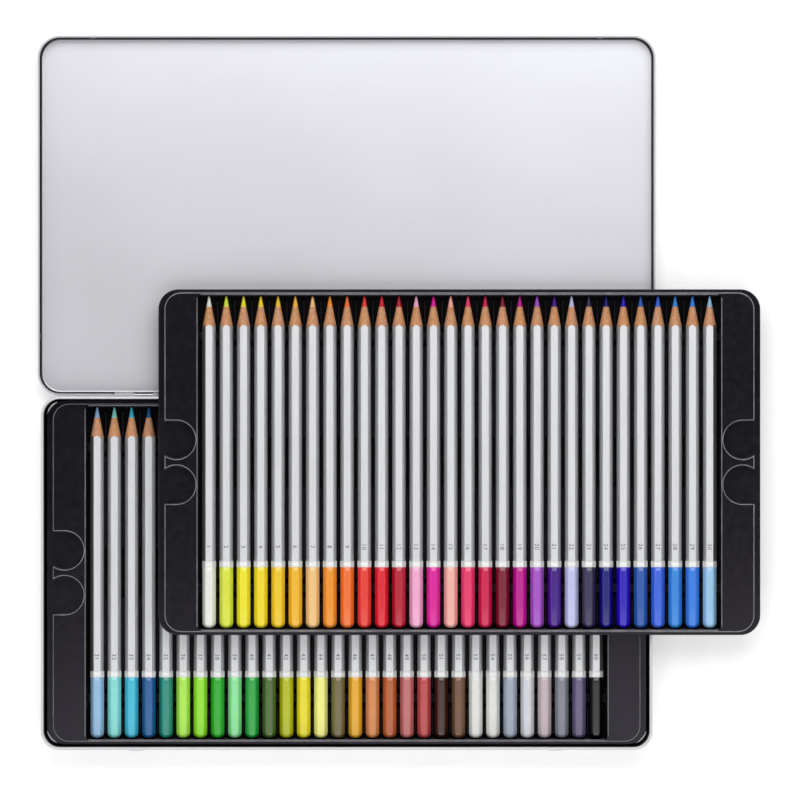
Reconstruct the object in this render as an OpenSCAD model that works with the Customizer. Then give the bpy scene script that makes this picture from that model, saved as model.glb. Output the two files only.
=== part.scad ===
// Flat hinged tin for sixty coloured pencils in two lift-out trays.
// Shown as displayed: lid swung back flat, upper tray laid across the rim.
// Millimetres. Origin: middle of the tin's underside. +X right, +Y towards
// the hinge, +Z up.

/* [Pencils] */
// Pencils in each tray
pencil_count = 30; // [16:2:30]
// Length of a sharpened pencil
pencil_len = 175; // [140:1:215]
// Width of a pencil across its corners
pencil_d = 7.2; // [6.6:0.1:8.8]
// Free space between neighbouring pencils
pencil_gap = 1.9; // [1.7:0.1:3]
// Length of the sharpened cone
cone_len = 16.5; // [12:0.5:22]
// Radius of the worn point of the lead
point_r = 0.4; // [0.3:0.05:0.8]
// Radius that rounds the corners of the dipped end
butt_round = 2.2; // [1:0.1:3]

/* [Trays] */
// How far the pencils' tops lie below the tray's shelves
pencil_sunk = 2.2; // [1:0.1:5]
// Thickness of the formed plastic sheet
tray_sheet = 0.8; // [0.6:0.1:1.1]
// Width of the flat shelf at each end of the pencil well
shelf_w = 17.4; // [15:0.1:30]
// Width of the foot flange at the tray's ends
flange_x = 3.4; // [1.5:0.1:4]
// Width of the foot flange along the tray's long sides
flange_y = 1.8; // [1.2:0.1:3]
// Width of the ledge between the well and the long sides
ledge_w = 1.2; // [1:0.1:3]
// Corner radius of the tray
tray_r = 10.5; // [6:0.5:12]
// Free space at each end of a pencil
end_gap = 0.7; // [0.4:0.1:2]
// Space between the outer pencils' corners and the well's walls
well_margin = 2.4; // [1.5:0.1:5]
// Corner radius of the pencil well
well_r = 2; // [1:0.5:4]
// Distance from the well's ends to the middle of the saddles
saddle_in = 21.9; // [15:0.1:35]
// Thickness of the saddles
saddle_t = 3.8; // [2:0.1:6]
// Plastic between a pencil's lowest corner line and the well's floor
saddle_floor = 0.5; // [0.3:0.1:1]
// How far the saddles rise above the pencils' centre lines
saddle_rise = 0.4; // [0.2:0.1:0.8]
// Play between a pencil's corners and its saddle
saddle_play = 0.05; // [0.02:0.01:0.3]
// Width of a fence between two pencils at its foot
fence_foot = 1.5; // [1:0.1:1.5]
// Width of a fence at its top
fence_top = 0.7; // [0.4:0.1:0.9]
// How far the fences stay below the pencils' centre lines
fence_drop = 0.1; // [0:0.1:1]
// Width of the slot without fences across the middle of the well
mid_slot = 26.2; // [10:0.2:50]
// Space from the fences to the saddles and the well's ends
fence_gap = 3.2; // [1:0.1:5]
// Radius of a finger pocket
pocket_r = 10.2; // [8:0.1:12]
// Distance between the two finger pockets' centres
pocket_pitch = 23.6; // [22.5:0.1:30]
// Width of shelf left between a finger pocket and the pencil well
pocket_wall = 1; // [0.9:0.1:3]

/* [Tin] */
// Thickness of the tinplate
tin_sheet = 0.35; // [0.25:0.05:0.6]
// Diameter of the curled rim of the base
rim_d = 1.5; // [1.2:0.1:2]
// Outer corner radius of the base
base_r = 10; // [8:0.5:14]
// Bend radius between the base's floor and walls
floor_bend = 2; // [1:0.1:3]
// Height of the floor bead that the lower tray stands on
bead_h = 0.6; // [0.4:0.1:1]
// Width of the floor bead
bead_w = 2.4; // [1.6:0.1:4]
// Distance from the base's walls to the floor bead
bead_in = 6; // [5:0.5:12]
// Space between a tray and the base's end walls
tray_play_x = 1.1; // [1:0.1:4]
// Space between a tray and the base's long walls
tray_play_y = 0.6; // [0.6:0.1:3]
// Space between the stacked trays
stack_play = 0.25; // [0.1:0.05:1]
// Height of the base's rim above the stacked trays
rim_over = 2.6; // [1:0.1:6]
// How far the two catch bulges of the front rim stand out
catch_out = 0.8; // [0.3:0.1:0.8]
// Length of a catch bulge
catch_len = 11; // [8:0.5:16]
// Height of a catch bulge
catch_h = 1.1; // [0.8:0.1:1.1]
// Distance of the catch bulges' middles from the base's ends
catch_in = 50.5; // [25:0.5:70]

/* [Lid] */
// Height of the closed lid's top above the base's rim
lid_over = 2.8; // [2:0.1:5]
// Space from the base's rim to the lid's outer face at the ends
lid_side = 1.8; // [1.8:0.1:3]
// Space from the base's rim to the lid's outer face at the front
lid_front = 2.3; // [2.3:0.1:3]
// Space from the base's rim to the lid's outer face at the hinge
lid_rear = 1.2; // [1.1:0.1:1.5]
// Diameter of the lid's curled edge
hem_d = 1; // [0.8:0.1:1.2]
// Bend radius between the lid's panel and walls
lid_bend = 2.5; // [1.5:0.1:4]
// How far a closing dimple stands into the lid
dimple_in = 1; // [0.5:0.05:1.1]
// Radius of the ball that presses a dimple
dimple_ball = 3.5; // [2.5:0.1:4]
// Height of the dimples above the lid's edge
dimple_up = 5.5; // [4:0.1:7]
// Distance of the front dimples from the lid's ends
dimple_side = 29; // [22:1:60]
// Distance of the end dimples from the hinge
dimple_back = 31; // [22:1:100]

/* [Hinge] */
// Radius of the hinge pins
pin_r = 0.6; // [0.5:0.05:0.7]
// Running clearance between a pin and its knuckles
pin_play = 0.06; // [0.03:0.01:0.1]
// Outer radius of the knuckles
knuckle_r = 1.25; // [1.1:0.05:1.4]
// Length of one hinge
hinge_len = 30; // [18:1:36]
// Distance of each hinge's middle from the base's end
hinge_in = 54; // [38:1:56]
// Gap between neighbouring knuckles
knuckle_gap = 0.3; // [0.2:0.05:0.6]
// Thickness of the tabs that carry the base's knuckles
tab_t = 0.9; // [0.6:0.1:1.1]
// Space around the base's knuckles in the lid's wall
notch_play = 0.4; // [0.3:0.05:0.8]
// Gap between the opened lid and the base's rim
open_gap = 0.4; // [0.3:0.05:0.8]
// Radius of the peened heads of a pin
head_r = 1; // [0.8:0.05:1.1]
// Thickness of the peened heads
head_t = 0.5; // [0.3:0.1:1]
// Gap between a head and the knuckle beside it
head_gap = 0.1; // [0.05:0.05:0.3]

/* [Display] */
// How far the lid is opened
lid_angle = 180; // [0:15:180]
// Upper tray laid across the rim, or stacked in the base
tray_out = true; // [true, false]
// Sideways place of the laid-out tray
tray_out_x = 59.5; // [-80:0.5:80]
// Place of the laid-out tray towards the hinge
tray_out_y = 58.5; // [-80:0.5:80]
// Space under the laid-out tray
lay_play = 0.3; // [0.2:0.1:1]

/* [Hidden] */
$fn = 64;
tiny = 0.01;
tie_reach = 0.1;
over = 1;
sink = 0.3;

// Pencils: a hexagon with a flat on top, and a cone at its +Y end
pitch = pencil_d + pencil_gap;
flat_half = pencil_d / 2 * cos(30);
first_x = -(pencil_count - 1) / 2 * pitch;

// Trays, worked out from the pencils they hold
axis_h = tray_sheet + saddle_floor + pencil_d / 2;
tray_h = axis_h + flat_half + pencil_sunk;
well_w = (pencil_count - 1) * pitch + pencil_d + 2 * well_margin;
well_d = pencil_len + 2 * end_gap;
top_w = well_w + 2 * shelf_w;
top_d = well_d + 2 * ledge_w;
tray_w = top_w + 2 * flange_x;
tray_d = top_d + 2 * flange_y;
top_r = tray_r - flange_y;

// Places along Y, from the well's middle to one end, and heights
saddle_y = well_d / 2 - saddle_in;
saddle_front = saddle_y - saddle_t / 2;
saddle_rear = saddle_y + saddle_t / 2;
fence_h = axis_h - fence_drop;
saddle_h = axis_h + saddle_rise;

// Base, worked out from the tray
room_w = tray_w + 2 * tray_play_x;
room_d = tray_d + 2 * tray_play_y;
base_w = room_w + 2 * rim_d;
base_d = room_d + 2 * rim_d;
tray_z = tin_sheet + bead_h;
stack_z = tray_z + tray_h + stack_play;
base_h = stack_z + tray_h + rim_over;
wall_out = rim_d - tin_sheet;
catch_x = base_w / 2 - catch_in;
catch_r = (catch_len * catch_len / 4 + catch_out * catch_out) / (2 * catch_out);

// Lid, closed, worked out from the base
closed_h = base_h + lid_over;
hinge_z = closed_h / 2;
lid_w = base_w + 2 * lid_side;
lid_back = base_d / 2 + lid_rear;
lid_nose = base_d / 2 + lid_front;
lid_d = lid_back + lid_nose;
lid_mid = (lid_back - lid_nose) / 2;
lid_r = base_r + lid_side;
dimple_x = lid_w / 2 - dimple_side;

// Hinges
hinge_x = base_w / 2 - hinge_in;
hinge_y = (lid_back + base_d / 2 + open_gap) / 2;
knuckle_len = (hinge_len - 2 * knuckle_gap) / 3;
head_room = head_gap + head_t + notch_play;

// Place of the upper tray
up_x = tray_out ? tray_out_x : 0;
up_y = tray_out ? tray_out_y : 0;
up_z = tray_out ? base_h + lay_play : stack_z;

silver = [0.80, 0.80, 0.82];
tin_grey = [0.74, 0.74, 0.77];
steel = [0.62, 0.62, 0.65];
black = [0.10, 0.10, 0.11];

// Colours of the pencils, left to right
upper_colours = [
    "white", "greenyellow", "yellow", "gold", "orange", "sandybrown",
    "orange", "darkorange", "tomato", "red", "crimson", "firebrick",
    "orchid", "mediumvioletred", "lightpink", "deeppink", "crimson", "brown",
    "mediumvioletred", "rebeccapurple", "indigo", "lightsteelblue", "slategray",
    "mediumblue", "navy", "royalblue", "blue", "royalblue", "dodgerblue", "skyblue"
];
lower_colours = [
    "lightskyblue", "turquoise", "darkturquoise", "midnightblue", "teal",
    "greenyellow", "lawngreen", "green", "mediumseagreen", "limegreen",
    "darkolivegreen", "yellowgreen", "gold", "khaki", "olive",
    "goldenrod", "chocolate", "sienna", "indianred", "brown",
    "maroon", "saddlebrown", "whitesmoke", "gainsboro", "lightsteelblue",
    "silver", "thistle", "slategray", "darkslateblue", "black"
];

function two_digits(n) = n < 10 ? str("0", n) : str(n);
function upper_name(n) = str("upper_pencil_", two_digits(n));
function pair_name(n) = str("lower_pencils_", two_digits(n), "_", two_digits(n + 1));

// ---- Shared shapes ----

module rounded_rect(w, d, r) {
    square([w - 2 * r, d], center = true);
    square([w, d - 2 * r], center = true);
    for (sx = [-1, 1], sy = [-1, 1])
        translate([sx * (w / 2 - r), sy * (d / 2 - r)]) circle(r);
}

module slab(w, d, r, h) {
    linear_extrude(h) rounded_rect(w, d, r);
}

// Runs a profile round a rounded rectangle: x is outwards, y is up
module run_round(w, d, r) {
    for (k = [0:3]) {
        reach = (k % 2 == 0 ? w : d) / 2;
        run = (k % 2 == 0 ? d : w) - 2 * r;
        rotate([0, 0, 90 * k]) {
            translate([reach, run / 2, 0])
                rotate([90, 0, 0]) linear_extrude(run) children();
            translate([reach - r, run / 2, 0])
                rotate_extrude(angle = 90) translate([r, 0]) children();
        }
    }
}

// A quarter of a bent sheet's section, centred on the bend
module bend(r, t, from) {
    intersection() {
        difference() {
            circle(r);
            circle(r - t);
        }
        rotate(from) square(r + over);
    }
}

// A strip inside the sheet, across the line where a flat wall meets a bend
module tie(upright) {
    thin = tin_sheet - 2 * tiny;
    square(upright ? [thin, 2 * tie_reach] : [2 * tie_reach, thin], center = true);
}

// ---- Tin base ----

module base_section() {
    translate([-rim_d / 2, base_h - rim_d / 2]) circle(d = rim_d);
    translate([-rim_d, floor_bend]) square([tin_sheet, base_h - rim_d / 2 - floor_bend]);
    translate([-wall_out - floor_bend, floor_bend]) bend(floor_bend, tin_sheet, -90);
    translate([-wall_out - floor_bend - over, 0]) square([over, tin_sheet]);
    translate([-rim_d + tin_sheet / 2, floor_bend]) tie(true);
    translate([-wall_out - floor_bend, tin_sheet / 2]) tie(false);
}

module floor_bead(w, d, r) {
    difference() {
        slab(w, d, r, tray_z);
        translate([0, 0, -over]) slab(w - 2 * bead_w, d - 2 * bead_w, r - bead_w, tray_z + 2 * over);
    }
}

// A shallow bulge, arched in plan, on the front of the rim
module catch_bulge(x) {
    translate([x, -base_d / 2, base_h - rim_d / 2]) intersection() {
        translate([0, catch_r - catch_out, 0]) cylinder(r = catch_r, h = catch_h, center = true);
        translate([-catch_len / 2, -over, -catch_h]) cube([catch_len, over + rim_d / 2, 2 * catch_h]);
    }
}

// A knuckle outside the base's rear wall, on a tab that comes through under the lid's edge
module base_knuckle(x) {
    wall_y = base_d / 2 - rim_d + tiny;
    translate([x - knuckle_len / 2, 0, hinge_z]) {
        translate([0, hinge_y, 0]) rotate([0, 90, 0]) cylinder(r = knuckle_r, h = knuckle_len);
        translate([0, wall_y, -knuckle_r]) cube([knuckle_len, hinge_y - wall_y, tab_t]);
    }
}

module hinge_bore(x) {
    translate([x - hinge_len / 2 - over, hinge_y, hinge_z])
        rotate([0, 90, 0]) cylinder(r = pin_r + pin_play, h = hinge_len + 2 * over);
}

module tin_base() {
    inner = wall_out + floor_bend;
    color(silver) difference() {
        union() {
            run_round(base_w, base_d, base_r) base_section();
            slab(base_w - 2 * inner, base_d - 2 * inner, base_r - inner, tin_sheet);
            floor_bead(room_w - 2 * bead_in, room_d - 2 * bead_in, base_r - rim_d);
            for (s = [-1, 1]) {
                catch_bulge(s * catch_x);
                base_knuckle(s * hinge_x);
            }
        }
        for (s = [-1, 1]) hinge_bore(s * hinge_x);
    }
}

// ---- Lid, drawn closed and swung open about the hinge ----

module lid_section() {
    translate([-hem_d / 2, hinge_z + hem_d / 2]) circle(d = hem_d);
    translate([-tin_sheet, hinge_z + hem_d / 2])
        square([tin_sheet, closed_h - lid_bend - hinge_z - hem_d / 2]);
    translate([-lid_bend, closed_h - lid_bend]) bend(lid_bend, tin_sheet, 0);
    translate([-lid_bend - over, closed_h - tin_sheet]) square([over, tin_sheet]);
    translate([-tin_sheet / 2, closed_h - lid_bend]) tie(true);
    translate([-lid_bend, closed_h - tin_sheet / 2]) tie(false);
}

// A ball pressed through a wall whose inner face is at x = 0
module press_ball(r) {
    translate([dimple_in - dimple_ball, 0, 0]) rotate([0, 0, 180]) sphere(r);
}

// The cap that such a ball raises inside the wall
module dimple_cap() {
    intersection() {
        press_ball(dimple_ball);
        translate([-tin_sheet / 2, -dimple_ball, -dimple_ball]) cube(2 * dimple_ball);
    }
}

// Places for the dimples: each child's +X points from a wall into the lid
module at_dimples() {
    z = hinge_z + dimple_up;
    for (s = [-1, 1]) {
        translate([s * dimple_x, -lid_nose + tin_sheet, z]) rotate([0, 0, 90]) children();
        translate([s * (lid_w / 2 - tin_sheet), hinge_y - dimple_back, z])
            rotate([0, 0, s > 0 ? 180 : 0]) children();
    }
}

module lid_knuckle(x, s) {
    translate([x + s * (knuckle_len + knuckle_gap) - knuckle_len / 2, hinge_y, hinge_z])
        rotate([0, 90, 0]) cylinder(r = knuckle_r, h = knuckle_len);
}

// Room for a base knuckle, and for the pin's heads beyond the hinge
module lid_notch(x) {
    play = knuckle_r + notch_play;
    wide = knuckle_len + 2 * knuckle_gap;
    translate([0, hinge_y - play, hinge_z - play]) {
        translate([x - wide / 2, 0, 0]) cube([wide, 2 * play, 2 * play]);
        for (from = [-hinge_len / 2 - head_room, hinge_len / 2])
            translate([x + from, 0, 0]) cube([head_room, 2 * play, 2 * play]);
    }
}

module lid_closed() {
    difference() {
        union() {
            difference() {
                union() {
                    translate([0, lid_mid, 0]) {
                        run_round(lid_w, lid_d, lid_r) lid_section();
                        translate([0, 0, closed_h - tin_sheet])
                            slab(lid_w - 2 * lid_bend, lid_d - 2 * lid_bend, lid_r - lid_bend, tin_sheet);
                    }
                    at_dimples() dimple_cap();
                }
                at_dimples() press_ball(dimple_ball - tin_sheet);
                for (s = [-1, 1]) lid_notch(s * hinge_x);
            }
            for (s = [-1, 1], e = [-1, 1]) lid_knuckle(s * hinge_x, e);
        }
        for (s = [-1, 1]) hinge_bore(s * hinge_x);
    }
}

module tin_lid() {
    color(tin_grey) translate([0, hinge_y, hinge_z]) rotate([lid_angle, 0, 0])
        translate([0, -hinge_y, -hinge_z]) lid_closed();
}

// ---- Hinge pins ----

module hinge_pin(s) {
    reach = hinge_len / 2 + head_gap;
    color(steel) translate([s * hinge_x, hinge_y, hinge_z]) rotate([0, 90, 0]) {
        cylinder(r = pin_r, h = 2 * reach, center = true);
        for (e = [-1, 1])
            translate([0, 0, e * (reach + head_t / 2)]) cylinder(r = head_r, h = head_t, center = true);
    }
}

// ---- Trays ----

// One finger pocket, open to the tray's end; out is +1 or -1 along Y
module pocket(grow, out) {
    reach = shelf_w - pocket_wall - pocket_r;
    circle(pocket_r + grow);
    translate([0, out > 0 ? 0 : -pocket_r - grow])
        square([reach + flange_x + over, pocket_r + grow]);
}

// Outline of the raised shelves and ledges; inset draws it one sheet smaller
module shelves(inset) {
    pocket_x = top_w / 2 - (shelf_w - pocket_wall - pocket_r);
    difference() {
        rounded_rect(top_w - 2 * inset, top_d - 2 * inset, top_r - inset);
        rounded_rect(well_w + 2 * inset, well_d + 2 * inset, well_r + inset);
        for (s = [-1, 1], out = [-1, 1])
            translate([s * pocket_x, out * pocket_pitch / 2])
                mirror([s < 0 ? 1 : 0, 0]) pocket(inset, out);
    }
}

// Section of the saddles that carry the pencils
module saddle_section() {
    difference() {
        translate([-well_w / 2 - tray_sheet / 2, tray_sheet - sink])
            square([well_w + tray_sheet, saddle_h - tray_sheet + sink]);
        for (i = [0:pencil_count - 1])
            translate([first_x + i * pitch, axis_h]) circle(pencil_d / 2 + saddle_play);
    }
}

// Section of the low fences between the pencils, on a strip that joins them to the floor
module fence_section() {
    translate([-well_w / 2 - tray_sheet / 2, tray_sheet - sink])
        square([well_w + tray_sheet, sink + tiny]);
    for (i = [0:pencil_count - 2])
        translate([first_x + (i + 0.5) * pitch, tray_sheet - sink])
            polygon([
                [-fence_foot / 2, 0], [fence_foot / 2, 0],
                [fence_top / 2, fence_h - tray_sheet + sink],
                [-fence_top / 2, fence_h - tray_sheet + sink]
            ]);
}

module along_y(from, to) {
    translate([0, to, 0]) rotate([90, 0, 0]) linear_extrude(to - from) children();
}

module tray() {
    difference() {
        union() {
            slab(tray_w, tray_d, tray_r, tray_sheet);
            linear_extrude(tray_h) shelves(0);
        }
        translate([0, 0, -over]) linear_extrude(tray_h - tray_sheet + over) shelves(tray_sheet);
    }
    for (s = [-1, 1]) mirror([0, s < 0 ? 1 : 0, 0]) {
        along_y(mid_slot / 2, saddle_front - fence_gap) fence_section();
        along_y(saddle_rear + fence_gap, well_d / 2 - fence_gap) fence_section();
        along_y(saddle_front, saddle_rear) saddle_section();
    }
}

module lower_tray() {
    color(black) translate([0, 0, tray_z]) tray();
}

module upper_tray() {
    color(black) translate([up_x, up_y, up_z]) tray();
}

// ---- Pencils ----

// Half section of what a turned pencil may fill: a rounded butt and a cone
module pencil_limit() {
    far = pencil_d / 2 + over;
    slope = cone_len / (pencil_d / 2 - point_r);
    difference() {
        polygon([
            [0, 0], [pencil_d / 2, 0], [pencil_d / 2, butt_round], [far, butt_round],
            [far, pencil_len - cone_len - over * slope],
            [point_r, pencil_len], [0, pencil_len]
        ]);
        translate([pencil_d / 2 - butt_round, 0]) difference() {
            square(butt_round);
            translate([0, butt_round]) circle(butt_round);
        }
    }
}

module pencil() {
    rotate([-90, 0, 0]) translate([0, 0, -pencil_len / 2]) intersection() {
        cylinder(d = pencil_d, h = pencil_len, $fn = 6);
        rotate_extrude() pencil_limit();
    }
}

module pencil_at(n, colour) {
    color(colour) translate([first_x + (n - 1) * pitch, 0, axis_h]) pencil();
}

module upper_pencil(n) {
    translate([up_x, up_y, up_z]) pencil_at(n, upper_colours[n - 1]);
}

module lower_pencil(n) {
    translate([0, 0, tray_z]) pencil_at(n, lower_colours[n - 1]);
}

tin_base();
tin_lid();
hinge_pin(-1);  // hinge_pin_left
hinge_pin(1);  // hinge_pin_right
lower_tray();
upper_tray();
for (n = [1:pencil_count]) {
    upper_pencil(n);
}
for (n = [1:2:pencil_count]) {
    for (m = [n, n + 1]) lower_pencil(m);
}
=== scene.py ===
import math

import bmesh
import bpy
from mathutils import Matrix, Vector


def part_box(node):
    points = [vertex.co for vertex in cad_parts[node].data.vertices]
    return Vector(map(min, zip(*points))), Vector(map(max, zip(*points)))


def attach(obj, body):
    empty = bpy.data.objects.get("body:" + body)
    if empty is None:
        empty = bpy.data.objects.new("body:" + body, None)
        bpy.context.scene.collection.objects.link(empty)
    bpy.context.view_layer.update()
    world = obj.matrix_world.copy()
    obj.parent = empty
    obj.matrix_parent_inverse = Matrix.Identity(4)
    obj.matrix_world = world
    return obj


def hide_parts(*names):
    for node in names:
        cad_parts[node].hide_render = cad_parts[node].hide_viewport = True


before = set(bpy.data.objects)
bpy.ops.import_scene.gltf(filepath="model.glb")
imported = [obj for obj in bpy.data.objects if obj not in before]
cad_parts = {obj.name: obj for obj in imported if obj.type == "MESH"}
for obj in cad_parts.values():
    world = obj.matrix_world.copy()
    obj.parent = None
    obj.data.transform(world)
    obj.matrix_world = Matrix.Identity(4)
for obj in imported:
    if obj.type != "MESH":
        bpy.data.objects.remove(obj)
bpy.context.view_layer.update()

# Everything is in metres, in the CAD frame: +X right, +Y towards the hinge, +Z up.
MM = 0.001

# ---- Colours, written as they look on screen, 0 to 255 ----

UPPER_COLOURS = [
    ("white", 225, 225, 218), ("lemon_green", 210, 222, 60), ("lemon", 232, 222, 35),
    ("yellow", 242, 212, 30), ("golden", 242, 195, 35), ("warm_yellow", 242, 180, 40),
    ("pale_ochre", 240, 190, 125), ("orange", 238, 145, 35), ("deep_orange", 238, 112, 45),
    ("vermilion", 225, 58, 48), ("red", 215, 25, 45), ("carmine", 180, 15, 45),
    ("pink", 235, 165, 200), ("magenta", 215, 8, 150), ("salmon", 240, 172, 160),
    ("raspberry", 225, 52, 105), ("crimson", 200, 18, 72), ("bordeaux", 120, 8, 42),
    ("red_violet", 185, 5, 140), ("violet", 160, 78, 192), ("dark_violet", 62, 5, 130),
    ("lavender", 188, 190, 230), ("dark_indigo", 50, 42, 80), ("dark_blue", 10, 5, 115),
    ("ultramarine", 35, 5, 180), ("steel_blue", 35, 85, 165), ("blue", 55, 98, 215),
    ("azure", 48, 130, 212), ("sky", 48, 120, 220), ("light_blue", 145, 190, 222),
]
LOWER_COLOURS = [
    ("ice_blue", 140, 178, 212), ("pale_turquoise", 128, 212, 205), ("turquoise", 60, 180, 208),
    ("deep_blue", 22, 88, 145), ("sea_green", 28, 135, 118), ("yellow_green", 165, 225, 75),
    ("apple", 140, 218, 40), ("green", 30, 165, 32), ("mint", 135, 220, 150),
    ("emerald", 28, 160, 58), ("olive_green", 70, 100, 38), ("lime", 175, 182, 10),
    ("warm_lemon", 224, 212, 30), ("pale_yellow", 233, 233, 130), ("olive_brown", 110, 100, 62),
    ("ochre", 222, 165, 35), ("tan", 205, 130, 75), ("sienna", 178, 90, 42),
    ("dusty_rose", 185, 105, 102), ("brick", 180, 66, 70), ("dark_brown", 52, 18, 6),
    ("brown", 108, 72, 48), ("off_white", 215, 217, 212), ("pale_grey", 215, 215, 212),
    ("blue_grey", 150, 160, 176), ("light_grey", 202, 203, 208), ("warm_grey", 184, 170, 176),
    ("grey", 122, 126, 136), ("grey_violet", 96, 85, 120), ("black", 8, 8, 8),
]

# ---- Sizes ----

# Lengths along a pencil
LEAD_SHOWN = 5.6 * MM
CONE_LEN = 16.5 * MM
DIP_LEN = 32.2 * MM
BAND_LEN = 3.3 * MM
# The point's rounding, and the butt's: its length and the flat left in its middle
POINT_R = 0.4 * MM
BUTT_ROUND = 3.0 * MM
BUTT_FLAT_R = 0.6 * MM
# Radii that round the hexagon's corners
BARREL_CORNER = 0.2 * MM
BAND_CORNER = 0.4 * MM
DIP_CORNER = 1.5 * MM
# The white band and the dipped end are thicker than the barrel, and each coat ends in a short step
BAND_COAT = 0.12 * MM
DIP_COAT = 0.2 * MM
COAT_END = 0.08 * MM
# How far the lacquer's edge follows the wood's scallops: 0 is straight, 1 follows them fully
PAINT_SCALLOP = 0.5
# Steps round one corner and along one flat of the hexagon
CORNER_STEPS = 6
FLAT_STEPS = 6
# Rings of the butt's rounding, the bare wood, the lead's cone and its point
BUTT_STEPS = 8
WOOD_STEPS = 7
LEAD_STEPS = 5
POINT_STEPS = 3
# Degrees from one ring of the point to the next, and how much wider than POINT_R it is
POINT_TURN = 25
POINT_WIDER = 1.2
# The printed number: a digit's height, its distance from the butt and the ink's thickness
NUMBER_H = 2.3 * MM
NUMBER_UP = 43 * MM
INK_RISE = 0.015 * MM
# Shares of a digit's height: the built-in font's size and the step from one digit to the next
FONT_SIZE = 1.35
DIGIT_STEP = 0.78

# The heights where the curled edges begin, on the opened lid and on the base
LID_CURL_Z = 12.5 * MM
BASE_CURL_Z = 22.7 * MM
# How far below that the sheet's finish changes into the curl's
CURL_BLEND = 0.5 * MM

# Slots of the materials on a pencil and on a tray
DIP, BAND, BARREL, WOOD, LEAD, INK = range(6)
SHELF, EDGE, WELL = range(3)

# The dipped ends are this much lighter than their colours as written, nearer to the photo
DIP_LIGHTER = 1.2

# The usual span of noise, which ranges from 0 to 1 but seldom goes past this
NOISE_LOW = 0.3
NOISE_HIGH = 0.7


def linear(value):
    """A screen value from 0 to 255 as the light that it stands for."""
    v = value / 255
    return v / 12.92 if v <= 0.04045 else ((v + 0.055) / 1.055) ** 2.4


def rgb(red, green, blue):
    return (linear(red), linear(green), linear(blue), 1.0)


def scaled(colour, factor):
    """The same colour, lighter or darker."""
    return tuple(min(1.0, c * factor) for c in colour[:3]) + (1.0,)


# ---- Materials ----

class Finish:
    """A material of one shader, with helpers that add its procedural texture."""

    def __init__(self, name, **sockets):
        self.material = bpy.data.materials.new(name)
        self.material.use_nodes = True
        self.tree = self.material.node_tree
        self.shader = self.tree.nodes["Principled BSDF"]
        for socket, value in sockets.items():
            self.shader.inputs[socket.replace("_", " ")].default_value = value
        coordinates = self.tree.nodes.new("ShaderNodeTexCoord")
        self.place = coordinates.outputs["Object"]
        self.normal = coordinates.outputs["Normal"]

    def link(self, output, target):
        self.tree.links.new(output, target)

    def noise(self, scale, detail=3, stretch=(1, 1, 1), roughness=0.5):
        """Noise with `scale` features in a metre, stretched along the axes."""
        mapping = self.tree.nodes.new("ShaderNodeMapping")
        mapping.inputs["Scale"].default_value = stretch
        self.link(self.place, mapping.inputs["Vector"])
        node = self.tree.nodes.new("ShaderNodeTexNoise")
        node.inputs["Scale"].default_value = scale
        node.inputs["Detail"].default_value = detail
        node.inputs["Roughness"].default_value = roughness
        self.link(mapping.outputs["Vector"], node.inputs["Vector"])
        return node.outputs["Fac"]

    def shades(self, noise, *colours):
        """Turns noise into a colour between the given ones, evenly spaced over its usual span."""
        step = (NOISE_HIGH - NOISE_LOW) / (len(colours) - 1)
        return self.ramp(noise, [(NOISE_LOW + step * k, colour) for k, colour in enumerate(colours)])

    def ramp(self, value, stops):
        """Turns a value into a colour between (position, colour) stops."""
        node = self.tree.nodes.new("ShaderNodeValToRGB")
        elements = node.color_ramp.elements
        while len(elements) < len(stops):
            elements.new(1.0)
        for element, (position, colour) in zip(elements, stops):
            element.position = position
            element.color = colour
        self.link(value, node.inputs["Fac"])
        return node.outputs["Color"]

    def spread(self, value, low, high):
        """Turns noise into a value from low to high."""
        return self.ranged(value, NOISE_LOW, NOISE_HIGH, low, high)

    def blend(self, factor, first, second):
        node = self.tree.nodes.new("ShaderNodeMix")
        node.data_type = "RGBA"
        self.link(factor, node.inputs["Factor"])
        self.link(first, node.inputs["A"])
        self.link(second, node.inputs["B"])
        return node.outputs["Result"]

    def ranged(self, value, low, high, start, end):
        """Turns a value between low and high into one between start and end."""
        node = self.tree.nodes.new("ShaderNodeMapRange")
        node.inputs["From Min"].default_value = low
        node.inputs["From Max"].default_value = high
        node.inputs["To Min"].default_value = start
        node.inputs["To Max"].default_value = end
        self.link(value, node.inputs["Value"])
        return node.outputs["Result"]

    def maths(self, operation, *values):
        node = self.tree.nodes.new("ShaderNodeMath")
        node.operation = operation
        for value, socket in zip(values, node.inputs):
            self.link(value, socket)
        return node.outputs[0]

    def height_of(self, vector):
        """The Z part of a vector."""
        node = self.tree.nodes.new("ShaderNodeSeparateXYZ")
        self.link(vector, node.inputs["Vector"])
        return node.outputs["Z"]

    def colour(self, output):
        self.link(output, self.shader.inputs["Base Color"])

    def rough(self, value, low, high):
        self.link(self.spread(value, low, high), self.shader.inputs["Roughness"])

    def bump(self, height, distance, strength=1.0):
        node = self.tree.nodes.new("ShaderNodeBump")
        node.inputs["Distance"].default_value = distance
        node.inputs["Strength"].default_value = strength
        self.link(height, node.inputs["Height"])
        self.link(node.outputs["Normal"], self.shader.inputs["Normal"])


def mottled(finish, colour, scale, amount, **texture):
    """Colours a finish with faint clouds, `amount` lighter and darker."""
    clouds = finish.noise(scale, **texture)
    finish.colour(finish.shades(clouds, scaled(colour, 1 - amount), scaled(colour, 1 + amount)))


def dip_material(name, colour):
    """Thick glossy lacquer on the dipped end."""
    f = Finish("dip_" + name, Coat_Weight=0.7, Coat_Roughness=0.1, Specular_IOR_Level=0.4)
    mottled(f, scaled(colour, DIP_LIGHTER), 350, 0.03)
    f.rough(f.noise(900), 0.3, 0.4)
    f.bump(f.noise(500, detail=1), 0.008 * MM, 0.5)
    return f.material


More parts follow.
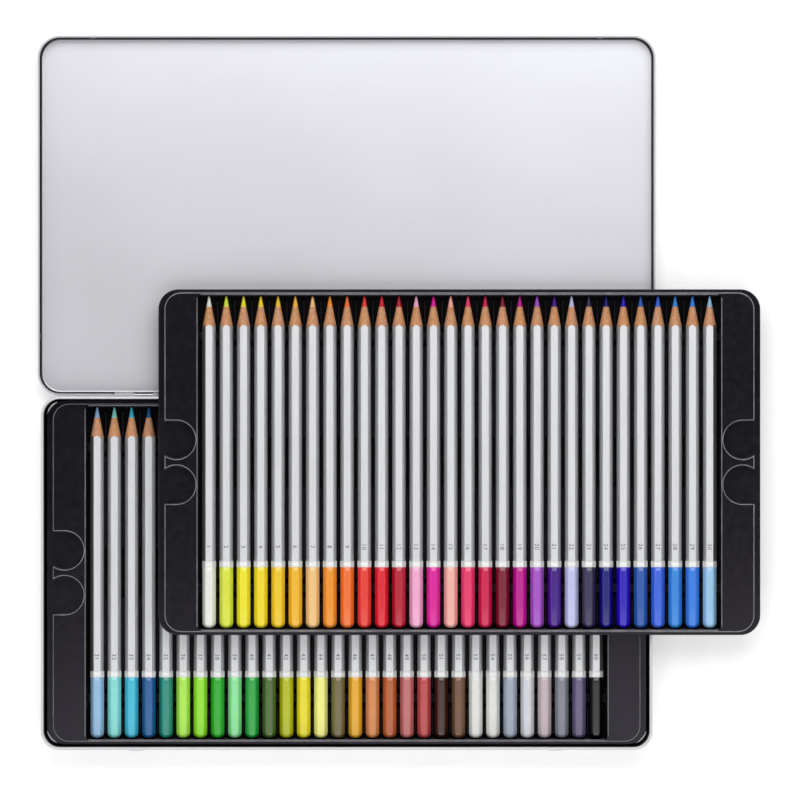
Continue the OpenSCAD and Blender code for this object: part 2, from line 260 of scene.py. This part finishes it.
def lead_material(name, colour):
    """Waxy coloured lead with faint sharpening marks round the cone."""
    f = Finish("lead_" + name, Specular_IOR_Level=0.35)
    mottled(f, colour, 2200, 0.14, stretch=(1, 3, 1))
    f.rough(f.noise(1500), 0.42, 0.62)
    f.bump(f.noise(1800, stretch=(0.3, 3, 0.3)), 0.05 * MM, 0.6)
    return f.material


def wood_material():
    """Sharpened softwood: grain along the pencil, warmer or pinker from one to the next."""
    f = Finish("sharpened_wood", Specular_IOR_Level=0.25)
    grain = f.noise(420, detail=5, stretch=(6, 0.7, 6), roughness=0.65)
    warm = f.shades(grain, rgb(176, 112, 62), rgb(208, 146, 92), rgb(226, 174, 122))
    pink = f.shades(grain, rgb(170, 108, 78), rgb(206, 150, 116), rgb(230, 186, 158))
    kind = f.spread(f.noise(70, detail=1, stretch=(1, 0, 0)), 0, 1)
    f.colour(f.blend(kind, warm, pink))
    f.rough(grain, 0.5, 0.75)
    f.bump(grain, 0.08 * MM, 0.7)
    return f.material


def barrel_material():
    """Silver-grey metallic lacquer: fine flakes and hardly visible drawing lines."""
    f = Finish("silver_lacquer", Metallic=0.9, Coat_Weight=0.1, Coat_Roughness=0.12)
    flakes = f.noise(5200, detail=1)
    lines = f.noise(1500, detail=2, stretch=(1, 0.02, 1))
    base = f.shades(flakes, rgb(212, 213, 215), rgb(226, 227, 229))
    streak = f.shades(lines, rgb(210, 211, 213), rgb(228, 229, 231))
    half = f.spread(f.noise(60), 0.4, 0.6)
    f.colour(f.blend(half, base, streak))
    f.rough(flakes, 0.34, 0.42)
    f.bump(flakes, 0.002 * MM, 0.4)
    return f.material


def band_material():
    """White lacquer ring between the barrel and the dipped end."""
    f = Finish("white_band", Coat_Weight=0.6, Coat_Roughness=0.1)
    mottled(f, rgb(236, 237, 236), 900, 0.03)
    f.rough(f.noise(900), 0.28, 0.4)
    f.bump(f.noise(700, detail=1), 0.02 * MM, 0.5)
    return f.material


def ink_material():
    """Dark grey stamped ink, a little uneven."""
    f = Finish("number_ink")
    mottled(f, rgb(52, 52, 56), 2500, 0.25)
    f.rough(f.noise(1500), 0.45, 0.6)
    return f.material


def tray_material():
    """Black formed plastic, glossy over a very fine grain."""
    f = Finish("black_formed_plastic", Specular_IOR_Level=0.5)
    f.shader.inputs["Specular Tint"].default_value = (0.9, 0.84, 1.0, 1)
    mottled(f, rgb(17, 15, 21), 45, 0.12)
    f.rough(f.noise(260), 0.14, 0.2)
    f.bump(f.noise(2600, detail=2), 0.008 * MM, 0.4)
    return f.material


def well_material():
    """The same plastic down in the well, rougher, with a darker colour and a weak reflection as painted
    shade.
    """
    f = Finish("black_plastic_painted_shade", Specular_IOR_Level=0.05)
    mottled(f, rgb(8, 7, 9), 60, 0.15)
    f.rough(f.noise(260), 0.45, 0.6)
    f.bump(f.noise(2600, detail=2), 0.01 * MM, 0.5)
    return f.material


def edge_material():
    """The formed edges, coloured a pale grey as a painted highlight, and glossy with a strong reflection
    of their own.
    """
    f = Finish("painted_highlight_plastic_edge", Specular_IOR_Level=0.9)
    highlight_noise = f.noise(160, detail=4)
    f.colour(f.shades(highlight_noise, rgb(112, 110, 116), rgb(150, 148, 153)))
    f.rough(highlight_noise, 0.12, 0.24)
    f.bump(f.noise(1400, detail=2), 0.01 * MM, 0.4)
    return f.material


def tinplate_material(name, colour, low, high, curl_z):
    """Lacquered tinplate: fine rolling lines along the tin's length and faint clouds. The bends inside
    and the dimples' slopes are coloured near black as painted shade, and the curled edge above curl_z
    loses most of its metal, so that its pale colour stands as a painted highlight."""
    f = Finish(name, Metallic=1.0)
    rolled = f.noise(900, detail=3, stretch=(0.02, 1, 1))
    clouds = f.noise(14, detail=2)
    fine = f.shades(rolled, scaled(colour, 0.99), scaled(colour, 1.01))
    soft = f.shades(clouds, scaled(colour, 0.985), scaled(colour, 1.015))
    # A near-black painted shade for the bends inside and the dimples' slopes
    painted_shade_colour = f.shades(rolled, scaled(colour, 0.09), scaled(colour, 0.12))
    sheet = f.blend(f.spread(f.noise(300), 0.4, 0.6), fine, soft)
    curl = f.ranged(f.height_of(f.place), curl_z - CURL_BLEND, curl_z, 0, 1)
    f.colour(f.blend(bend_mask(f, curl), sheet, painted_shade_colour))
    # The curl drops most of its metal, so its pale colour shows as a painted highlight along the rim
    f.link(f.ranged(curl, 0, 1, 1, 0.1), f.shader.inputs["Metallic"])
    f.rough(clouds, low, high)
    f.bump(rolled, 0.003 * MM, 0.3)
    return f.material


def bend_mask(f, curl):
    """1 where the sheet gets its painted shade, on the bend inside and round the dimples, else 0.
    Those faces lean: they are neither upright nor quite level."""
    slope = f.height_of(f.normal)
    leaning = f.ranged(slope, 0.1, 0.2, 0, 1)
    turned = f.ranged(slope, 0.998, 0.96, 0, 1)
    below_curl = f.ranged(curl, 0, 1, 1, 0)
    return f.maths("MULTIPLY", f.maths("MULTIPLY", leaning, turned), below_curl)


def wire_material():
    """Drawn steel wire of the hinge pins."""
    f = Finish("drawn_wire", Metallic=1.0)
    mottled(f, rgb(188, 188, 192), 1500, 0.06, stretch=(0.1, 1, 1))
    f.rough(f.noise(1200), 0.22, 0.36)
    return f.material


# ---- Pencils ----

def hexagon(inner, corner):
    """A hexagon with a flat on top, `inner` from centre to flat, its corners rounded by `corner`."""
    reach = (inner - corner) / math.cos(math.radians(30))
    arcs = []
    for k in range(6):
        turn = math.radians(60 * k)
        centre = Vector((math.cos(turn), math.sin(turn))) * reach
        angles = [turn + math.radians(60 * j / CORNER_STEPS - 30) for j in range(CORNER_STEPS + 1)]
        arcs.append([centre + Vector((math.cos(a), math.sin(a))) * corner for a in angles])
    points = []
    for k in range(6):
        start, end = arcs[k][-1], arcs[(k + 1) % 6][0]
        points += arcs[k]
        points += [start.lerp(end, j / FLAT_STEPS) for j in range(1, FLAT_STEPS)]
    return points


def pencil_rings(length, inner, outer):
    """Rings of points from the butt to the tip, as (material of what follows, points)."""
    butt, tip = -length / 2, length / 2
    slope = (outer - POINT_R) / CONE_LEN
    dip = hexagon(inner + DIP_COAT, DIP_CORNER)
    band = hexagon(inner + BAND_COAT, BAND_CORNER)
    barrel = hexagon(inner, BARREL_CORNER)

    def flat(points, y, factor=1.0):
        return [Vector((p.x * factor, y, p.y * factor)) for p in points]

    rings = []
    for j in range(BUTT_STEPS + 1):
        angle = math.radians(90 * j / BUTT_STEPS)
        share = (BUTT_FLAT_R + (outer - BUTT_FLAT_R) * math.sin(angle)) / outer
        rings.append((DIP, flat(dip, butt + BUTT_ROUND * (1 - math.cos(angle)), share)))
    for share in (0.3, 0.6, 0.9):
        rings.append((DIP, flat(dip, butt + BUTT_ROUND + (DIP_LEN - BUTT_ROUND) * share)))
    rings.append((DIP, flat(dip, butt + DIP_LEN - COAT_END)))
    rings.append((BAND, flat(band, butt + DIP_LEN)))
    rings.append((BAND, flat(band, butt + DIP_LEN + BAND_LEN - COAT_END)))
    barrel_start = butt + DIP_LEN + BAND_LEN
    barrel_end = tip - CONE_LEN - COAT_END
    rings.append((BARREL, flat(barrel, barrel_start)))
    for share in (0.2, 0.4, 0.6, 0.8, 1.0):
        rings.append((BARREL, flat(barrel, barrel_start + (barrel_end - barrel_start) * share)))
    edge = [Vector((p.x, tip - (p.length - POINT_R) / slope, p.y)) for p in barrel]
    lowest = min(p.y for p in edge)
    rings.append((WOOD, [Vector((p.x, lowest + (p.y - lowest) * PAINT_SCALLOP, p.z)) for p in edge]))
    rings.append((WOOD, edge))
    lead_y = tip - LEAD_SHOWN

    def cone(y_of):
        """A ring on the cone, at the place along it that y_of gives for the lacquer's edge."""
        ring = []
        for p, e in zip(barrel, edge):
            y = y_of(e.y)
            r = POINT_R + (tip - y) * slope
            ring.append(Vector((p.x / p.length * r, y, p.y / p.length * r)))
        return ring

    for j in range(1, WOOD_STEPS):
        rings.append((WOOD, cone(lambda start: start + (lead_y - start) * j / WOOD_STEPS)))
    rings.append((LEAD, cone(lambda start: lead_y)))
    for j in range(1, LEAD_STEPS + 1):
        rings.append((LEAD, cone(lambda start: lead_y + (LEAD_SHOWN - POINT_R) * j / LEAD_STEPS)))
    for j in range(1, POINT_STEPS + 1):
        angle = math.radians(POINT_TURN * j)
        r = POINT_R * POINT_WIDER * math.cos(angle)
        y = tip - POINT_R + POINT_R * math.sin(angle)
        rings.append((LEAD, [Vector((p.x / p.length * r, y, p.y / p.length * r)) for p in barrel]))
    return rings


def digit_meshes(height):
    """Flat meshes of the ten digits, in the built-in font, lying in the XY plane."""
    meshes = []
    for digit in range(10):
        curve = bpy.data.curves.new("digit", "FONT")
        curve.body = str(digit)
        curve.size = height * FONT_SIZE
        curve.align_x = "CENTER"
        text = bpy.data.objects.new("digit", curve)
        bpy.context.scene.collection.objects.link(text)
        bpy.context.view_layer.update()
        meshes.append(bpy.data.meshes.new_from_object(text))
        bpy.data.objects.remove(text)
    return meshes


def add_number(bm, number, top, y, digits):
    """Prints a plain number along the pencil's upper flat, read from the tip towards the butt."""
    digit_count = len(str(number))
    for place, digit in enumerate(str(number)):
        along = y - (place - (digit_count - 1) / 2) * NUMBER_H * DIGIT_STEP
        mesh = digits[int(digit)]
        made = [bm.verts.new((v.co.y - NUMBER_H * 0.5, along - v.co.x, top)) for v in mesh.vertices]
        for polygon in mesh.polygons:
            face = bm.faces.new([made[i] for i in polygon.vertices])
            face.material_index = INK
            if face.normal.z < 0:
                face.normal_flip()


def pencil(name, centre, length, inner, outer, number, materials, digits):
    """One pencil as one mesh: dipped end, white band, barrel, sharpened wood and lead."""
    bm = bmesh.new()
    rings = [(m, [bm.verts.new(p) for p in points]) for m, points in pencil_rings(length, inner, outer)]
    columns = len(rings[0][1])
    for (index, first), (_, second) in zip(rings, rings[1:]):
        for c in range(columns):
            d = (c + 1) % columns
            bm.faces.new((first[c], second[c], second[d], first[d])).material_index = index
    for index, ring, y in ((DIP, rings[0][1], -length / 2), (LEAD, rings[-1][1], length / 2)):
        pole = bm.verts.new((0, y, 0))
        for c in range(columns):
            bm.faces.new((ring[c], ring[(c + 1) % columns], pole)).material_index = index
    bmesh.ops.recalc_face_normals(bm, faces=bm.faces)
    for edge in bm.edges:
        kinds = {face.material_index for face in edge.link_faces}
        edge.smooth = len(kinds) == 1
    for face in bm.faces:
        face.smooth = True
    bm.normal_update()
    add_number(bm, number, inner + INK_RISE, -length / 2 + NUMBER_UP, digits)
    bmesh.ops.translate(bm, verts=bm.verts, vec=centre)
    mesh = bpy.data.meshes.new(name)
    bm.to_mesh(mesh)
    bm.free()
    for material in materials:
        mesh.materials.append(material)
    obj = bpy.data.objects.new(name, mesh)
    bpy.context.scene.collection.objects.link(obj)
    return obj


def make_pencils():
    digits = digit_meshes(NUMBER_H)
    band, barrel, wood, ink = band_material(), barrel_material(), wood_material(), ink_material()
    low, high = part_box("upper_pencil_01")
    outer = (high.x - low.x) / 2
    inner = outer * math.cos(math.radians(30))
    length = high.y - low.y
    count = len(UPPER_COLOURS)
    for tray, colours in (("upper", UPPER_COLOURS), ("lower", LOWER_COLOURS)):
        for n in range(1, count + 1):
            name, *levels = colours[n - 1]
            colour = rgb(*levels)
            if tray == "upper":
                node = f"upper_pencil_{n:02d}"
                low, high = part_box(node)
                x = (low.x + high.x) / 2
            else:
                first = n - 1 + n % 2
                node = f"lower_pencils_{first:02d}_{first + 1:02d}"
                low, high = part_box(node)
                x = low.x + outer if n == first else high.x - outer
            centre = Vector((x, (low.y + high.y) / 2, (low.z + high.z) / 2))
            materials = [dip_material(name, colour), band, barrel, wood, lead_material(name, colour), ink]
            number = n if tray == "upper" else count + n
            label = f"{tray}_colour_{n:02d}"
            piece = pencil(label, centre, length, inner, outer, number, materials, digits)
            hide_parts(node)
            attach(piece, "upper_tray" if tray == "upper" else "tin")


# ---- Trays ----

# Sizes of the CAD trays that the search for their edges needs: the sheet, how far in from the
# rim the well begins, and how high the fences and the saddles stand over the foot
SHEET = 0.8 * MM
WELL_IN_X = 20.8 * MM
WELL_IN_Y = 3.0 * MM
FENCE_H = 4.8 * MM
SADDLE_H = 5.3 * MM
# Radii that soften the edges and the steps round them, on the shelves and in the well
EDGE_R = 0.45 * MM
EDGE_STEPS = 4
FENCE_R = 0.16 * MM
FENCE_STEPS = 2
# How far apart two points still count as one
WELD = 0.002 * MM
# How far past the well's border a face still belongs to it, and an edge to the shelf
FACE_SLACK = 0.01 * MM
EDGE_SLACK = 0.1 * MM
# Upward part of a face's normal: a steep face has less than the one, a level face more than the other
STEEP = 0.5
LEVEL = 0.99
# Angles in degrees: faces closer than the one are merged, edges over the other stay sharp
MERGE_ANGLE = 0.5
SHARP_ANGLE = 35


def level_edges(bm, z, test):
    """Edges at height z between a level face and a steep one, whose middles pass the test."""
    found = []
    for edge in bm.edges:
        a, b = edge.verts
        if abs(a.co.z - z) > WELD or abs(b.co.z - z) > WELD or len(edge.link_faces) != 2:
            continue
        slopes = sorted(abs(face.normal.z) for face in edge.link_faces)
        if slopes[0] < STEEP and slopes[1] > LEVEL and test((a.co + b.co) / 2):
            found.append(edge)
    return found


def soften(bm, edges, radius, steps):
    """Rounds the edges and gives back the new faces."""
    made = bmesh.ops.bevel(bm, geom=edges, offset=radius, segments=steps, profile=0.5, affect="EDGES",
                           clamp_overlap=False, loop_slide=True)
    return made["faces"]


def formed_tray(node, name, body, materials):
    """The tray's CAD mesh with its formed edges rounded, so that they catch the light.
    The materials are those of the shelves, the edges, which carry a painted highlight, and the well,
    which carries a painted shade."""
    low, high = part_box(node)
    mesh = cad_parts[node].data.copy()
    mesh.name = name
    mesh.materials.clear()
    for material in materials:
        mesh.materials.append(material)
    bm = bmesh.new()
    bm.from_mesh(mesh)
    bmesh.ops.remove_doubles(bm, verts=bm.verts, dist=WELD)
    bmesh.ops.dissolve_limit(bm, angle_limit=math.radians(MERGE_ANGLE), verts=bm.verts, edges=bm.edges)
    middle = (low + high) / 2
    well_x = (high.x - low.x) / 2 - WELL_IN_X
    well_y = (high.y - low.y) / 2 - WELL_IN_Y

    def inside_well(p, margin=0.0):
        return abs(p.x - middle.x) < well_x - margin and abs(p.y - middle.y) < well_y - margin

    def outside_well(p):
        return not inside_well(p, EDGE_SLACK)

    for face in bm.faces:
        in_well = all(inside_well(vert.co, -FACE_SLACK) for vert in face.verts)
        face.material_index = WELL if in_well else SHELF
    soften(bm, level_edges(bm, low.z + FENCE_H, inside_well), FENCE_R, FENCE_STEPS)
    soften(bm, level_edges(bm, low.z + SADDLE_H, inside_well), FENCE_R, FENCE_STEPS)
    soften(bm, level_edges(bm, low.z + SHEET, outside_well), EDGE_R, EDGE_STEPS)
    # The shelf's rounded top edges take the pale grey painted highlight
    for face in soften(bm, level_edges(bm, high.z, outside_well), EDGE_R, EDGE_STEPS):
        face.material_index = EDGE
    for face in bm.faces:
        face.smooth = True
    bm.to_mesh(mesh)
    bm.free()
    tray = bpy.data.objects.new(name, mesh)
    bpy.context.scene.collection.objects.link(tray)
    mesh.set_sharp_from_angle(angle=math.radians(SHARP_ANGLE))
    weigh = tray.modifiers.new("weighted_normals", "WEIGHTED_NORMAL")
    weigh.keep_sharp = True
    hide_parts(node)
    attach(tray, body)


# ---- Tin ----

def dress(node, material):
    """Gives a CAD node its only material."""
    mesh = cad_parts[node].data
    mesh.materials.clear()
    mesh.materials.append(material)


def make_tin():
    dress("tin_base", tinplate_material("tinplate_base", rgb(226, 226, 229), 0.2, 0.26, BASE_CURL_Z))
    dress("tin_lid", tinplate_material("tinplate_lid", rgb(206, 206, 212), 0.34, 0.36, LID_CURL_Z))
    wire = wire_material()
    dress("hinge_pin_left", wire)
    dress("hinge_pin_right", wire)


# ---- Studio ----

# The camera looks straight down from CAMERA_H at AIM, and its picture is FRAME_W wide there
CAMERA_H = 7.0
FRAME_W = 0.4235
AIM = Vector((28.2 * MM, 91.3 * MM, 0))
# Width of the camera's sensor in millimetres, as Blender counts it
SENSOR = 36
# The floor: half its size, how far it lies under the object, its colour and its own light
FLOOR_HALF = 30
FLOOR_DROP = 0.05 * MM
FLOOR_COLOUR = (0.97, 0.97, 0.97, 1)
FLOOR_LIFT = 0.34
# The room's light at heights from 0, the horizon, to 1, straight above
ROOM_LEVELS = [(0.0, 0.03), (0.4, 0.05), (0.7, 0.35), (0.92, 0.4), (1.0, 0.1)]
# Each lamp: name, place, the point it looks at, width and height in metres, radiance
LAMPS = [
    ("box_back", (0.10, 0.72, 1.30), (0.03, 0.10, 0), 1.2, 0.7, 3.6),
    ("box_front", (0.05, -0.50, 1.40), (0.0, 0.0, 0), 1.3, 0.9, 1.2),
    ("strip_left", (-0.80, 0.09, 0.85), (0.03, 0.09, 0), 0.8, 0.22, 2.6),
    ("strip_right", (0.86, 0.09, 0.85), (0.03, 0.09, 0), 0.8, 0.22, 1.0),
    ("strip_front", (0.03, -0.80, 0.80), (0.03, 0.0, 0), 0.9, 0.2, 2.5),
]


def make_camera():
    data = bpy.data.cameras.new("camera")
    data.sensor_width = SENSOR
    data.lens = SENSOR * CAMERA_H / FRAME_W
    camera = bpy.data.objects.new("camera", data)
    camera.location = AIM + Vector((0, 0, CAMERA_H))
    bpy.context.scene.collection.objects.link(camera)
    bpy.context.scene.camera = camera


def make_lamp(name, place, aim, width, height, radiance):
    """A rectangular lamp that looks from place to aim and shines with the given radiance."""
    data = bpy.data.lights.new(name, "AREA")
    data.shape = "RECTANGLE"
    data.size = width
    data.size_y = height
    data.energy = radiance * math.pi * width * height
    lamp = bpy.data.objects.new(name, data)
    lamp.location = place
    lamp.rotation_mode = "QUATERNION"
    lamp.rotation_quaternion = (Vector(aim) - Vector(place)).to_track_quat("-Z", "Y")
    lamp.visible_camera = False
    bpy.context.scene.collection.objects.link(lamp)


def make_world():
    """A dim room that is lighter high up, except right behind the camera."""
    world = bpy.data.worlds.new("studio")
    world.use_nodes = True
    tree = world.node_tree
    place = tree.nodes.new("ShaderNodeTexCoord")
    split = tree.nodes.new("ShaderNodeSeparateXYZ")
    ramp = tree.nodes.new("ShaderNodeValToRGB")
    elements = ramp.color_ramp.elements
    while len(elements) < len(ROOM_LEVELS):
        elements.new(1.0)
    for element, (height, level) in zip(elements, ROOM_LEVELS):
        element.position = height
        element.color = (level, level, level, 1)
    tree.links.new(place.outputs["Generated"], split.inputs["Vector"])
    tree.links.new(split.outputs["Z"], ramp.inputs["Fac"])
    tree.links.new(ramp.outputs["Color"], tree.nodes["Background"].inputs["Color"])
    bpy.context.scene.world = world


def lift_floor(f):
    """Adds a little light of its own to the floor as seen, in mirrors and through glass too."""
    path = f.tree.nodes.new("ShaderNodeLightPath")
    rays = path.outputs["Is Camera Ray"]
    for other in ("Is Glossy Ray", "Is Transmission Ray"):
        either = f.tree.nodes.new("ShaderNodeMath")
        either.operation = "MAXIMUM"
        f.link(rays, either.inputs[0])
        f.link(path.outputs[other], either.inputs[1])
        rays = either.outputs[0]
    level = f.tree.nodes.new("ShaderNodeMath")
    level.operation = "MULTIPLY"
    level.inputs[1].default_value = FLOOR_LIFT
    f.link(rays, level.inputs[0])
    glow = f.tree.nodes.new("ShaderNodeEmission")
    f.link(level.outputs[0], glow.inputs["Strength"])
    both = f.tree.nodes.new("ShaderNodeAddShader")
    f.link(f.shader.outputs["BSDF"], both.inputs[0])
    f.link(glow.outputs["Emission"], both.inputs[1])
    f.link(both.outputs["Shader"], f.tree.nodes["Material Output"].inputs["Surface"])


def make_floor():
    """A white floor that keeps the object's shadow."""
    bm = bmesh.new()
    bmesh.ops.create_grid(bm, x_segments=1, y_segments=1, size=FLOOR_HALF)
    mesh = bpy.data.meshes.new("floor")
    bm.to_mesh(mesh)
    bm.free()
    floor = bpy.data.objects.new("floor", mesh)
    floor.location.z = -FLOOR_DROP
    f = Finish("white_floor", Roughness=0.9, Specular_IOR_Level=0.0)
    f.shader.inputs["Base Color"].default_value = FLOOR_COLOUR
    lift_floor(f)
    mesh.materials.append(f.material)
    bpy.context.scene.collection.objects.link(floor)


bpy.context.scene.view_settings.view_transform = "Standard"
make_camera()
for lamp in LAMPS:
    make_lamp(*lamp)
make_world()
make_floor()
make_tin()
plastics = [tray_material(), edge_material(), well_material()]
formed_tray("lower_tray", "lower_tray_formed", "tin", plastics)
formed_tray("upper_tray", "upper_tray_formed", "upper_tray", plastics)
make_pencils()
